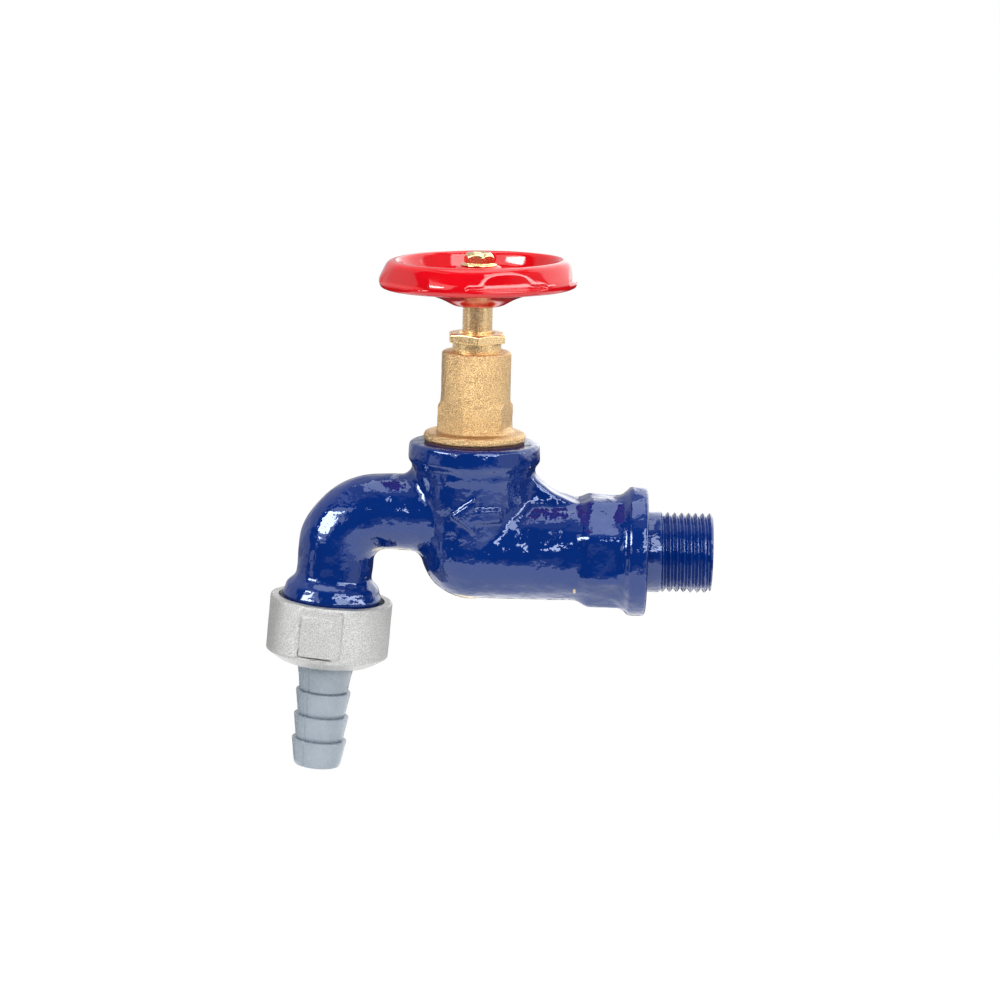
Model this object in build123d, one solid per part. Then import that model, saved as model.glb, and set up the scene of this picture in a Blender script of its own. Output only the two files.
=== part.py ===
"""Wall-mounted bib tap with a screw-down valve, a handwheel and a hose union.

Millimetres. X runs along the inlet, +X into the wall. Z is up, -Y is the front.
The origin is the centre of the flange face that meets the wall.
"""
import os
from math import atan2, cos, degrees, pi, radians, sin, sqrt, tan

from build123d import *

# Clearances
run_gap = 0.05          # radial, a shaft that turns or slides in its bore
thread_gap = 0.05       # radial, between the plain cylinders that stand for two threads
lift_gap = 0.1          # axial, spindle foot above the jumper plate
press_fit = 0.02        # radial, seat ring larger than its bore
overcut = 1.0           # a cut runs this far past the face that it opens
edge_break = 0.3        # small bevel on turned edges

# Inlet, from the wall inwards
inlet_thread_r = 10.478     # G 1/2 pipe thread, outside
inlet_thread_length = 17.0
thread_chamfer = 1.0
flange_r = 16.8
flange_thickness = 5.0
flange_round = 0.6
flange_ledge = 0.75         # flat left on the flange's back round the foot of the flare
flare_length = 3.6          # cone between the flange and the spanner section
flare_r = 14.3
spanner_across_flats = 28.3
spanner_sides = 8
spanner_length = 9.4
spanner_bevel = 2.6         # run of the bevel down to the round barrel
spanner_corner_round = 0.8
inlet_barrel_r = 13.25
inlet_reach = 45.4          # wall face to the spindle axis
inlet_bore_r = 7.5
inlet_bore_end = 24.0       # the full bore stops here, measured from the wall face

# Spout
spout_r = 9.9
spout_bore_r = 6.5
spout_rise = 8.85           # spout axis above the inlet axis
spout_bend_r = 11.7
spout_root_round = 2.0
outlet_reach = 36.3         # spindle axis to the centre of the nut's upper rim
outlet_drop = 14.3          # inlet axis down to that centre
outlet_lean = 4.0           # degrees, foot of the outlet away from the wall
flare_top = 7.0             # heights of the outlet's forms above the nut's upper rim
flare_foot = 2.9
flare_root_length = 2.6
flare_root_swell = 0.5
flare_shoulder_r = 12.5
outlet_bead_height = 1.7
outlet_bead_inset = 0.32    # bead inside the thread's radius
outlet_thread_r = 13.22     # G 3/4 pipe thread, outside
outlet_thread_start = 2.2   # depths below the nut's upper rim
outlet_end = 9.0
outlet_thread_chamfer = 0.8
outlet_bore_r = 9.0

# Valve barrel, round the spindle axis
neck_r = 15.8
neck_round = 1.2
collar_clear = 3.45         # bare neck between the top of the spout and the collar
collar_height = 5.6
collar_ledge = 1.2          # collar wider than the neck
collar_round = 1.1
barrel_foot_inset = 0.6     # taper's foot inside the ball that closes the inlet barrel
web_width = 11.0            # gusset between valve barrel and inlet barrel
web_foot_past = 1.3         # its foot runs this far into the spanner section
web_top_drop = 2.6          # below the collar's underside
web_round = 1.8
web_foot_rise = 0.3         # its foot's edges above the inlet barrel's surface
arm_root_round = 2.5
bowl_wall = 4.25            # casting below the valve
chamber_r = 10.0
chamber_floor = 3.2
partition_thickness = 2.7
under_chamber_r = 7.0
throat_r = 4.6
throat_floor_gap = 0.1      # throat's lowest line above the bottom of the chamber

# Valve seat, jumper and washer
seat_hole_r = 5.5
seat_wall = 1.1
seat_lip_width = 1.0
seat_lip_height = 0.8
washer_overlap = 1.7        # valve washer wider than the hole that it closes
valve_washer_thickness = 3.0
plate_margin = 0.2          # jumper plate wider than the washer
jumper_plate_thickness = 2.0
jumper_stem_r = 2.5
jumper_stem_length = 9.0
jumper_stud_r = 2.0
washer_nut_across_flats = 5.5
washer_nut_height = 2.2
stud_past_nut = 0.4

# Bonnet
bonnet_gasket_thickness = 0.5
bonnet_flange_r = 13.25
bonnet_flange_thickness = 2.2
bonnet_flange_bevel = 0.9
bonnet_groove_r = 9.6
bonnet_groove_height = 0.6
bonnet_hex_across_flats = 17.4
bonnet_hex_height = 7.8
bonnet_hex_turn = -107.3    # degrees, one corner from +X
bonnet_hex_crown = 0.4
bonnet_top_r = 9.0
bonnet_top_height = 12.7    # round top above the hexagon
bonnet_top_chamfer = 0.8
bonnet_thread_r = 10.45
bonnet_thread_length = 11.8
bonnet_thread_chamfer = 0.8
bonnet_foot_gap = 1.5       # bonnet's foot to the step in the casting's bore
packing_chamber_depth = 13.6
packing_floor_thickness = 6.0

# Gland
packing_washer_thickness = 1.0
packing_ring_thickness = 3.0
gland_follower_thickness = 2.5
gland_barrel_r = 6.3
gland_neck = 2.4            # turned barrel that shows between bonnet and hexagon
gland_hex_across_flats = 14.2
gland_hex_height = 2.3
gland_hex_turn = -88.0
gland_hex_crown = 0.2

# Spindle
spindle_r = 3.85
spindle_thread_r = 6.2
spindle_thread_chamfer = 0.6
spindle_stop_gap = 2.375    # spindle's thread to the bonnet's shoulder with the valve open
spindle_lead = 2.5
spindle_turns = 2.25
spindle_square = 5.3
spindle_top_below_hub = 0.8
stem_bore_past = 1.0        # bore for the jumper's stem, deeper than the stem
screw_hole_past = 2.8       # tapped hole, deeper than the screw

# Handwheel
wheel_clear = 7.3           # bare spindle between gland nut and hub
hub_r = 4.9
hub_height = 10.0
hub_boss_r = 6.0
hub_boss_flare = 0.6
dish_knee_r = 12.0
dish_knee_rise = 1.6
dish_thickness = 2.3
rim_underside = 4.4         # heights above the foot of the hub
rim_widest = 6.3
rim_top = 11.8
rim_inner_r = 20.8
rim_inner_foot_r = 19.2
rim_crown_r = 23.4
rim_r = 26.1
rim_wall = 2.5
rim_foot_land = 1.0
crown_edge_width = 0.8
crown_edge_drop = 0.4
scoop_count = 5
scoop_turn = -72.0          # degrees, centre of the first scoop from +X
scoop_r = 38.0              # radius of the flattened grip face
scoop_depth = 0.8           # where the rim is widest
scoop_crown_depth = 0.15
square_gap = 0.1

# Handwheel screw
screw_flange_r = 4.7
screw_flange_thickness = 0.8
screw_flange_bevel = 0.8
screw_across_flats = 7.0
screw_head_height = 3.4
screw_hex_turn = -76.0
screw_hex_crown = 0.5
screw_dimple_r = 1.3
screw_dimple_foot_r = 0.9
screw_dimple_depth = 0.6
screw_r = 2.0
screw_length = 10.0
screw_point = 0.4

# Hose union
nut_wall = 2.7
nut_edge = 0.4
nut_mouth_clear = 0.63      # mouth wider than the nut's bore
nut_mouth_flare = 1.0
nut_mouth_depth = 1.6
nut_mouth_taper = 0.6
nut_floor = 2.8
nut_foot_ring = 4.4         # nut's flat foot round the tail's hole
nut_foot_chamfer = 2.5
nut_foot_gap = 0.25         # radial, round the tail's neck
lug_face_width = 7.4
lug_rise = 1.1              # lug's face beyond the round of the nut
lug_side_width = 3.3
lug_top = 0.3
lug_top_slope = 1.4
lug_foot_rise = 3.0
lug_turn = 11.5
lug_count = 2
union_washer_thickness = 2.4
union_washer_bore_r = 5.2
tail_flange_inset = 0.32    # washer and tail flange inside the outlet thread's radius
tail_flange_thickness = 2.8
tail_neck_r = 7.25
tail_waist_r = 6.4
tail_neck_length = 7.9
barb_count = 3
barb_pitch = 6.5
barb_r = 7.2
barb_edge = 0.25
barb_foot_r = 6.25
barb_tip_length = 7.1       # last barb, to the end of the tail
tail_end_r = 5.95
tail_end_chamfer = 0.5
tail_bore_r = 4.2
union_turns = 4.0
union_pitch = 1.814

# Places worked out from the sizes above
spindle_axis = Pos(-inlet_reach, 0, 0)
lean = radians(outlet_lean)
outlet_down = Vector(-sin(lean), 0, -cos(lean))
outlet_rim = Vector(-inlet_reach - outlet_reach, 0, -outlet_drop)
outlet = Plane(origin=outlet_rim, x_dir=(0, -1, 0), z_dir=outlet_down).location

flange_back = -flange_thickness
flare_start = flange_back - flare_length
spanner_start = flare_start - spanner_length
neck_top = spout_rise + spout_r + collar_clear
collar_r = neck_r + collar_ledge
collar_top = neck_top + collar_height

gasket_top = collar_top + bonnet_gasket_thickness
bonnet_foot = gasket_top - bonnet_thread_length
bonnet_flange_top = gasket_top + bonnet_flange_thickness
bonnet_hex_foot = bonnet_flange_top + bonnet_groove_height
bonnet_hex_top = bonnet_hex_foot + bonnet_hex_height
bonnet_top = bonnet_hex_top + bonnet_top_height
packing_floor = bonnet_top - packing_chamber_depth
bonnet_shoulder = packing_floor - packing_floor_thickness

seat_bore_r = seat_hole_r + seat_wall
seat_lip_r = seat_bore_r + seat_lip_width
seat_top = chamber_floor + seat_lip_height
partition_foot = chamber_floor - partition_thickness
bowl_floor = bowl_wall - inlet_barrel_r
valve_washer_r = seat_hole_r + washer_overlap
jumper_plate_r = valve_washer_r + plate_margin
washer_top = seat_top + valve_washer_thickness
plate_top = washer_top + jumper_plate_thickness
stem_top = plate_top + jumper_stem_length

lift = spindle_lead * spindle_turns
spindle_foot = plate_top + lift_gap
spindle_thread_top = bonnet_shoulder - lift - spindle_stop_gap
gland_hex_foot = bonnet_top + gland_neck
gland_top = gland_hex_foot + gland_hex_height
wheel_foot = gland_top + wheel_clear
hub_top = wheel_foot + hub_height
spindle_top = hub_top - spindle_top_below_hub
screw_foot = hub_top - screw_length

tail_flange_top = outlet_end + union_washer_thickness
tail_flange_foot = tail_flange_top + tail_flange_thickness
tail_flange_r = outlet_thread_r - tail_flange_inset
nut_height = tail_flange_foot + nut_floor
nut_bore_r = outlet_thread_r + run_gap
nut_r = nut_bore_r + nut_wall


def turned(outline):
    """Solid of revolution about Z from a closed outline of (radius, height) points."""
    return revolve(make_face(Plane.XZ * Polyline(*outline, close=True)), Axis.Z)


def rod(radius, low, high):
    return Pos(0, 0, low) * extrude(Circle(radius), high - low)


def ring(outer, inner, low, high):
    return rod(outer, low, high) - rod(inner, low - overcut, high + overcut)


def hexagon(across_flats, low, high, turn):
    sketch = RegularPolygon(across_flats / 2, 6, major_radius=False)
    return Pos(0, 0, low) * Rot(0, 0, turn) * extrude(sketch, high - low)


def crowned_hexagon(across_flats, low, high, turn, crown):
    """Hexagon whose corners are turned off at the top, which leaves arcs on its flats."""
    flat = across_flats / 2
    beyond = flat / cos(radians(30)) + overcut
    envelope = turned([
        (0, low - overcut), (beyond, low - overcut), (beyond, high - crown - (beyond - flat) / 2),
        (flat, high), (0, high),
    ])
    return hexagon(across_flats, low, high, turn) & envelope


def joined(first, second, blend):
    """Two forms fused, with a fillet all along the line where they meet."""
    whole = first + second
    return fillet(new_edges(first, second, combined=whole), blend)


def spout_path(start):
    """Spout axis from `start` mm past the spindle axis, round the bend, down to the nut's rim."""
    turn = radians(90 - outlet_lean)
    bend_drop = spout_bend_r * (1 - cos(turn))
    bend_reach = spout_bend_r * sin(turn)
    straight_drop = outlet_drop + spout_rise - bend_drop
    bend_x = outlet_rim.X + straight_drop * tan(lean) + bend_reach
    bend_mid = (bend_x - spout_bend_r * sin(turn / 2), 0, spout_rise - spout_bend_r * (1 - cos(turn / 2)))
    bend_end = (bend_x - bend_reach, 0, spout_rise - bend_drop)
    run = Line((-inlet_reach - start, 0, spout_rise), (bend_x, 0, spout_rise))
    bend = ThreePointArc((bend_x, 0, spout_rise), bend_mid, bend_end)
    drop = Line(bend_end, (outlet_rim.X, 0, outlet_rim.Z))
    return Curve() + [run, bend, drop]


def spout_tube(radius, start):
    section = Plane(origin=(-inlet_reach - start, 0, spout_rise), z_dir=(-1, 0, 0)) * Circle(radius)
    return sweep(section, path=spout_path(start))


def valve_barrel():
    """Collar and the taper below it, with its blends."""
    barrel = turned([
        (0, 0), (inlet_barrel_r - barrel_foot_inset, 0), (neck_r, neck_top), (collar_r, neck_top),
        (collar_r, collar_top), (0, collar_top),
    ])
    rims = barrel.edges().filter_by(GeomType.CIRCLE).group_by(SortBy.RADIUS)[-1]
    barrel = fillet(rims, collar_round)
    root = barrel.edges().filter_by(GeomType.CIRCLE).filter_by(
        lambda edge: abs(edge.radius - neck_r) < edge_break and abs(edge.center().Z - neck_top) < edge_break)
    return spindle_axis * fillet(root, neck_round)


def inlet_arm():
    """Threaded spigot, flange, flare, spanner section and round barrel, closed by a ball under the valve."""
    arm = turned([
        (0, -inlet_reach), (inlet_barrel_r, -inlet_reach), (inlet_barrel_r, flare_start), (flare_r, flare_start),
        (flange_r - flange_ledge, flange_back), (flange_r, flange_back), (flange_r, 0),
        (inlet_thread_r, 0), (inlet_thread_r, inlet_thread_length - thread_chamfer),
        (inlet_thread_r - thread_chamfer, inlet_thread_length), (0, inlet_thread_length),
    ])
    rims = arm.edges().filter_by(GeomType.CIRCLE).group_by(SortBy.RADIUS)[-1]
    arm = fillet(rims, flange_round)
    flats = RegularPolygon(spanner_across_flats / 2, spanner_sides, major_radius=False)
    flats = fillet(flats.vertices(), spanner_corner_round)
    half_side_turn = Rot(0, 0, 180 / spanner_sides)
    prism = Pos(0, 0, spanner_start) * half_side_turn * extrude(flats, flange_back - spanner_start)
    beyond = spanner_across_flats / 2 / cos(pi / spanner_sides)
    envelope = turned([
        (0, spanner_start), (inlet_barrel_r, spanner_start), (beyond, spanner_start + spanner_bevel),
        (beyond, flange_back), (0, flange_back),
    ])
    return Rot(0, 90, 0) * (arm + (prism & envelope)) + spindle_axis * Sphere(inlet_barrel_r)


def outlet_end_form():
    """Flare, bead and threaded end of the spout, along the outlet axis."""
    bead_r = outlet_thread_r - outlet_bead_inset
    return outlet * turned([
        (0, -flare_top), (spout_r, -flare_top), (spout_r + flare_root_swell, flare_root_length - flare_top),
        (flare_shoulder_r - edge_break, -flare_foot - 2 * edge_break), (flare_shoulder_r, -flare_foot),
        (flare_shoulder_r - edge_break, -outlet_bead_height - edge_break),
        (bead_r, 2 * edge_break - outlet_bead_height), (bead_r, 2 * edge_break),
        (bead_r - 3 * edge_break, outlet_thread_start), (outlet_thread_r, outlet_thread_start),
        (outlet_thread_r, outlet_end - outlet_thread_chamfer),
        (outlet_thread_r - outlet_thread_chamfer, outlet_end), (0, outlet_end),
    ])


def web():
    """Gusset over the inlet barrel, from just under the collar to the spanner section."""
    foot_x = inlet_reach + spanner_start + web_foot_past
    foot_z = sqrt(inlet_barrel_r ** 2 - (web_width / 2) ** 2) + web_foot_rise
    top_z = neck_top - web_top_drop
    outline = Polyline((0, 0), (foot_x, 0), (foot_x, foot_z), (neck_r, top_z), (0, top_z), close=True)
    block = extrude(make_face(Plane.XZ * outline), web_width / 2, both=True)
    slopes = block.edges().filter_by(lambda edge: edge.tangent_at(0).X * edge.tangent_at(0).Z < -0.1)
    return spindle_axis * fillet(slopes, web_round)


def waterway():
    """Inlet bore, throat, chambers either side of the seat, bonnet mouth and spout bore."""
    throat_axis = bowl_floor + throat_floor_gap + throat_r
    throat_start = inlet_reach - under_chamber_r - overcut
    throat_end = inlet_reach - sqrt(under_chamber_r ** 2 - throat_r ** 2)
    bore = Rot(0, 90, 0) * rod(inlet_bore_r, -inlet_bore_end, inlet_thread_length + overcut)
    wide = Plane(origin=(-inlet_bore_end, 0, 0), z_dir=(-1, 0, 0)) * Circle(inlet_bore_r)
    narrow = Plane(origin=(-throat_start, 0, throat_axis), z_dir=(-1, 0, 0)) * Circle(throat_r)
    taper = loft([wide, narrow], ruled=True)
    throat = Pos(0, 0, throat_axis) * Rot(0, 90, 0) * rod(throat_r, -throat_end, -throat_start)
    chambers = rod(under_chamber_r, bowl_floor, partition_foot)
    chambers += rod(seat_bore_r, partition_foot - overcut, chamber_floor + overcut)
    chambers += rod(chamber_r, chamber_floor, bonnet_foot - bonnet_foot_gap)
    chambers += rod(bonnet_thread_r + thread_gap, bonnet_foot - bonnet_foot_gap, collar_top + overcut)
    spout_bore = spout_tube(spout_bore_r, chamber_r - 3 * overcut)
    outlet_bore = outlet * rod(outlet_bore_r, 0, outlet_end + overcut)
    return bore + taper + throat + spindle_axis * chambers + spout_bore + outlet_bore


def make_body():
    """One casting: valve barrel, inlet arm, spout and gusset, with the waterway cut through it."""
    casting = joined(valve_barrel(), inlet_arm(), arm_root_round)
    casting = joined(casting, spout_tube(spout_r, 0), spout_root_round)
    return casting + outlet_end_form() + web() - waterway()


def make_valve_seat():
    sleeve_r = seat_bore_r + press_fit
    return spindle_axis * turned([
        (seat_hole_r, partition_foot), (sleeve_r, partition_foot), (sleeve_r, chamber_floor),
        (seat_lip_r, chamber_floor), (seat_lip_r, seat_top - edge_break), (seat_lip_r - edge_break, seat_top),
        (seat_hole_r, seat_top),
    ])


def make_jumper_valve():
    """Disc that carries the washer, with a stem up into the spindle and a stud down for the nut."""
    stud_foot = seat_top - washer_nut_height - stud_past_nut
    return spindle_axis * turned([
        (0, stud_foot), (jumper_stud_r - edge_break, stud_foot), (jumper_stud_r, stud_foot + edge_break),
        (jumper_stud_r, washer_top), (jumper_plate_r, washer_top), (jumper_plate_r, plate_top - edge_break),
        (jumper_plate_r - edge_break, plate_top), (jumper_stem_r, plate_top),
        (jumper_stem_r, stem_top - edge_break), (jumper_stem_r - edge_break, stem_top), (0, stem_top),
    ])


def make_valve_washer():
    return spindle_axis * ring(valve_washer_r, jumper_stud_r + run_gap, seat_top, washer_top)


def make_washer_nut():
    foot = seat_top - washer_nut_height
    nut = hexagon(washer_nut_across_flats, foot, seat_top, 0)
    return spindle_axis * (nut - rod(jumper_stud_r + run_gap, foot - overcut, seat_top + overcut))


def make_bonnet_gasket():
    return spindle_axis * ring(
        bonnet_flange_r - edge_break, bonnet_thread_r + thread_gap, collar_top, gasket_top)


def make_bonnet():
    """Headwork casting: threaded skirt, flange, hexagon, round top, and the bores for spindle and gland."""
    shell = turned([
        (0, bonnet_foot), (bonnet_thread_r - bonnet_thread_chamfer, bonnet_foot),
        (bonnet_thread_r, bonnet_foot + bonnet_thread_chamfer), (bonnet_thread_r, gasket_top),
        (bonnet_flange_r - edge_break, gasket_top), (bonnet_flange_r, gasket_top + edge_break),
        (bonnet_flange_r, bonnet_flange_top - bonnet_flange_bevel),
        (bonnet_flange_r - bonnet_flange_bevel, bonnet_flange_top),
        (bonnet_groove_r, bonnet_flange_top), (bonnet_groove_r, bonnet_hex_foot),
        (bonnet_top_r, bonnet_hex_foot),
        (bonnet_top_r, bonnet_top - bonnet_top_chamfer), (bonnet_top_r - bonnet_top_chamfer, bonnet_top),
        (0, bonnet_top),
    ])
    shell += crowned_hexagon(
        bonnet_hex_across_flats, bonnet_hex_foot, bonnet_hex_top, bonnet_hex_turn, bonnet_hex_crown)
    bores = rod(spindle_thread_r + run_gap, bonnet_foot - overcut, bonnet_shoulder)
    bores += rod(spindle_r + run_gap, bonnet_shoulder - overcut, packing_floor + overcut)
    bores += rod(gland_barrel_r + thread_gap, packing_floor, bonnet_top + overcut)
    return spindle_axis * (shell - bores)


def packing_stack():
    """Names, feet and tops of what lies round the spindle under the gland nut."""
    low = packing_floor
    placed = []
    for name, thickness in (
        ("packing_washer", packing_washer_thickness),
        ("packing_ring_lower", packing_ring_thickness),
        ("packing_ring_upper", packing_ring_thickness),
        ("gland_follower", gland_follower_thickness),
    ):
        placed.append((name, low, low + thickness))
        low += thickness
    return placed


def make_packing_piece(low, high):
    return spindle_axis * ring(gland_barrel_r, spindle_r + run_gap, low, high)


def make_gland_nut():
    barrel_foot = packing_stack()[-1][2]
    nut = rod(gland_barrel_r, barrel_foot, gland_hex_foot)
    nut += crowned_hexagon(gland_hex_across_flats, gland_hex_foot, gland_top, gland_hex_turn, gland_hex_crown)
    return spindle_axis * (nut - rod(spindle_r + run_gap, barrel_foot - overcut, gland_top + overcut))


def make_spindle():
    """Threaded foot with a bore for the jumper's stem, plain shank, and a square for the wheel."""
    narrow_r = spindle_thread_r - spindle_thread_chamfer
    shaft = turned([
        (0, spindle_foot), (narrow_r, spindle_foot),
        (spindle_thread_r, spindle_foot + spindle_thread_chamfer),
        (spindle_thread_r, spindle_thread_top - spindle_thread_chamfer), (narrow_r, spindle_thread_top),
        (spindle_r, spindle_thread_top), (spindle_r, wheel_foot), (0, wheel_foot),
    ])
    square = extrude(Rectangle(spindle_square, spindle_square), spindle_top - wheel_foot + overcut)
    shaft += Pos(0, 0, wheel_foot - overcut) * square & rod(spindle_r, wheel_foot - overcut, spindle_top)
    stem_bore = rod(jumper_stem_r + run_gap, spindle_foot - overcut, stem_top + stem_bore_past)
    screw_hole = rod(screw_r + run_gap, screw_foot - screw_hole_past, spindle_top + overcut)
    return spindle_axis * (shaft - stem_bore - screw_hole)


def make_handwheel():
    """Dished wheel with a hollow rim, a boss on a square hole, and flattened grips round the rim."""
    def at(rise):
        return wheel_foot + rise

    wheel = turned([
        (0, at(0)), (hub_r, at(0)), (dish_knee_r, at(dish_knee_rise)), (rim_inner_foot_r, at(rim_underside)),
        (rim_inner_foot_r + dish_thickness, at(rim_underside)),
        (rim_inner_r + crown_edge_width, at(rim_top - rim_wall)),
        (rim_crown_r - dish_thickness + crown_edge_drop, at(rim_top - rim_wall)),
        (rim_r - rim_wall, at(rim_widest)), (rim_r - rim_wall, at(rim_underside)),
        (rim_r - rim_foot_land, at(rim_underside)), (rim_r, at(rim_widest)),
        (rim_crown_r, at(rim_top - crown_edge_drop)), (rim_crown_r - crown_edge_width, at(rim_top)),
        (rim_inner_r, at(rim_top)), (rim_inner_foot_r, at(rim_underside + dish_thickness)),
        (dish_knee_r, at(dish_knee_rise + dish_thickness)),
        (hub_boss_r + hub_boss_flare, at(dish_knee_rise + dish_thickness)),
        (hub_boss_r, at(hub_height)), (0, at(hub_height)),
    ])
    lean_in = (rim_r - scoop_depth) - (rim_crown_r - scoop_crown_depth)
    scoop_lean = degrees(atan2(lean_in, rim_top - rim_widest))
    tilt = Pos(rim_r - scoop_depth, 0, at(rim_widest)) * Rot(0, -scoop_lean, 0)
    grip = tilt * Pos(-scoop_r, 0, 0) * Cylinder(scoop_r, 8 * rim_top)
    for i in range(scoop_count):
        wheel &= Rot(0, 0, scoop_turn + i * 360 / scoop_count) * grip
    side = spindle_square + 2 * square_gap
    hole = Pos(0, 0, at(-overcut)) * extrude(Rectangle(side, side), hub_height + 2 * overcut)
    return spindle_axis * (wheel - hole)


def make_handwheel_screw():
    """Screw down the middle of the wheel: point, shank, flange, hexagon head and the dimple in its top."""
    flange_top = hub_top + screw_flange_thickness
    head_top = hub_top + screw_head_height
    screw = turned([
        (0, screw_foot), (screw_r - screw_point, screw_foot), (screw_r, screw_foot + screw_point),
        (screw_r, hub_top), (screw_flange_r, hub_top), (screw_flange_r, flange_top - edge_break),
        (screw_flange_r - screw_flange_bevel, flange_top), (0, flange_top),
    ])
    head_foot = flange_top - edge_break
    screw += crowned_hexagon(screw_across_flats, head_foot, head_top, screw_hex_turn, screw_hex_crown)
    dimple = turned([
        (0, head_top - screw_dimple_depth), (screw_dimple_foot_r, head_top - screw_dimple_depth),
        (screw_dimple_r, head_top), (screw_dimple_r, head_top + overcut), (0, head_top + overcut),
    ])
    return spindle_axis * (screw - dimple)


def make_union_nut():
    """Round nut with its bore open upwards, a chamfered foot and two flat-faced lugs."""
    hole_r = tail_neck_r + nut_foot_gap
    mouth_r = nut_bore_r + nut_mouth_clear
    half_face = lug_face_width / 2
    face_x = nut_r + lug_rise
    root_x = face_x - lug_side_width
    lug_foot = nut_height - lug_foot_rise
    section = Polyline(
        ((nut_bore_r + nut_r) / 2, 0), (root_x, half_face + lug_side_width), (face_x, half_face),
        (face_x, -half_face), (root_x, -half_face - lug_side_width), close=True)
    lug = Pos(0, 0, lug_top) * extrude(make_face(section), lug_foot - lug_top)
    envelope = turned([
        (0, lug_top), (nut_r - edge_break, lug_top), (face_x + overcut, lug_top + lug_rise + lug_top_slope),
        (face_x + overcut, lug_foot), (0, lug_foot),
    ])
    nut = turned([
        (0, 0), (nut_r - nut_edge, 0), (nut_r, nut_edge), (nut_r, nut_height - nut_foot_chamfer),
        (hole_r + nut_foot_ring, nut_height), (0, nut_height),
    ])
    for i in range(lug_count):
        nut += Rot(0, 0, lug_turn + i * 360 / lug_count) * (lug & envelope)
    bore = turned([
        (0, -overcut), (mouth_r + nut_mouth_flare, -overcut), (mouth_r, 0), (mouth_r, nut_mouth_depth),
        (nut_bore_r, nut_mouth_depth + nut_mouth_taper), (nut_bore_r, tail_flange_foot),
        (hole_r, tail_flange_foot), (hole_r, nut_height + overcut), (0, nut_height + overcut),
    ])
    return outlet * (nut - bore)


def make_union_washer():
    return outlet * ring(tail_flange_r, union_washer_bore_r, outlet_end, tail_flange_top)


def make_hose_tail():
    """Flanged tail with a tapered neck and barbs that widen towards the nut."""
    barbs_start = nut_height + tail_neck_length
    end = barbs_start + (barb_count - 1) * barb_pitch + barb_tip_length
    outline = [
        (tail_bore_r, tail_flange_top), (tail_flange_r, tail_flange_top), (tail_flange_r, tail_flange_foot),
        (tail_neck_r, tail_flange_foot), (tail_neck_r, nut_height), (tail_waist_r, barbs_start),
    ]
    for i in range(barb_count):
        crest = barbs_start + i * barb_pitch
        outline += [(barb_r - barb_edge / 2, crest), (barb_r, crest + barb_edge)]
        if i < barb_count - 1:
            outline += [(barb_foot_r, crest + barb_pitch)]
    outline += [
        (tail_end_r + tail_end_chamfer, end - tail_end_chamfer), (tail_end_r, end), (tail_bore_r, end),
    ]
    return outlet * turned(outline)


def write(name, solid):
    export_step(solid, f"parts/{name}.step")


os.makedirs("parts", exist_ok=True)
write("body", make_body())
write("valve_seat", make_valve_seat())
write("jumper_valve", make_jumper_valve())
write("valve_washer", make_valve_washer())
write("washer_nut", make_washer_nut())
write("bonnet_gasket", make_bonnet_gasket())
write("bonnet", make_bonnet())
for piece_name, piece_low, piece_high in packing_stack():
    write(piece_name, make_packing_piece(piece_low, piece_high))
write("gland_nut", make_gland_nut())
write("spindle", make_spindle())
write("handwheel", make_handwheel())
write("handwheel_screw", make_handwheel_screw())
write("union_nut", make_union_nut())
write("union_washer", make_union_washer())
write("hose_tail", make_hose_tail())
print(f"valve lift {lift:.3f} mm in {spindle_turns} turns")
print(f"union draws {union_turns * union_pitch:.3f} mm in {union_turns} turns")
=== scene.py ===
from math import atan2, cos, pi, radians, sin, tan
import bmesh
import bpy
from mathutils import Matrix, Vector, noise


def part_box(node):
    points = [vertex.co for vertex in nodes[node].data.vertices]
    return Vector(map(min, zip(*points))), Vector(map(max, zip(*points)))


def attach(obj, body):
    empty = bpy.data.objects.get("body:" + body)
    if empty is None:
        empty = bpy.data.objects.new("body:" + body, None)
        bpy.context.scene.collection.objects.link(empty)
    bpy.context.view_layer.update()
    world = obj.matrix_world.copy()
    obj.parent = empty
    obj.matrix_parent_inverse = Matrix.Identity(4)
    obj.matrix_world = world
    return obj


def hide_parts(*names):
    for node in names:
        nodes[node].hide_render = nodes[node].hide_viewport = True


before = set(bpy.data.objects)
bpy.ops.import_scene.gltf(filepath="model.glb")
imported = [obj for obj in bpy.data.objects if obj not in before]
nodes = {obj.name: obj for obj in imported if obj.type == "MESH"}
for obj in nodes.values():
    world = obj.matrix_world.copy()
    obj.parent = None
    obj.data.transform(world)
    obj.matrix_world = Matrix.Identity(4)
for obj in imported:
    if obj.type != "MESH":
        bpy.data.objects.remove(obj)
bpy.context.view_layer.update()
mm = 0.001


# Places read from the frame, in millimetres
def boxOf(node):
    low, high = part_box(node)
    return low / mm, high / mm


spindleX = sum(corner.x for corner in boxOf("spindle")) / 2
collarTop = boxOf("body")[1].z
threadEnd = boxOf("body")[1].x
bonnetTop = boxOf("bonnet")[1].z
bonnetFoot = boxOf("bonnet")[0].z
gasketTop = boxOf("bonnet_gasket")[1].z
wheelFoot = boxOf("handwheel")[0].z
glandTop = boxOf("gland_nut")[1].z
glandFoot = boxOf("gland_nut")[0].z
screwFoot = boxOf("handwheel_screw")[0].z
onSpindle = Matrix.Translation((spindleX, 0, 0))
alongInlet = Matrix.Rotation(radians(90), 4, "Y")      # a lathe's axis turned to +X

# Centre of the nut's upper rim from the spindle's axis, and the spout's lean in degrees
outlet = dict(reach=36.3, drop=14.3, lean=4.0)
lean = radians(outlet["lean"])
rim = Vector((spindleX - outlet["reach"], 0, -outlet["drop"]))
down = Vector((-sin(lean), 0, -cos(lean)))
alongOutlet = Matrix.Translation(rim) @ Matrix((
    (0, -cos(lean), down.x, 0), (-1, 0, 0, 0), (0, sin(lean), down.z, 0), (0, 0, 0, 1)))


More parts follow.
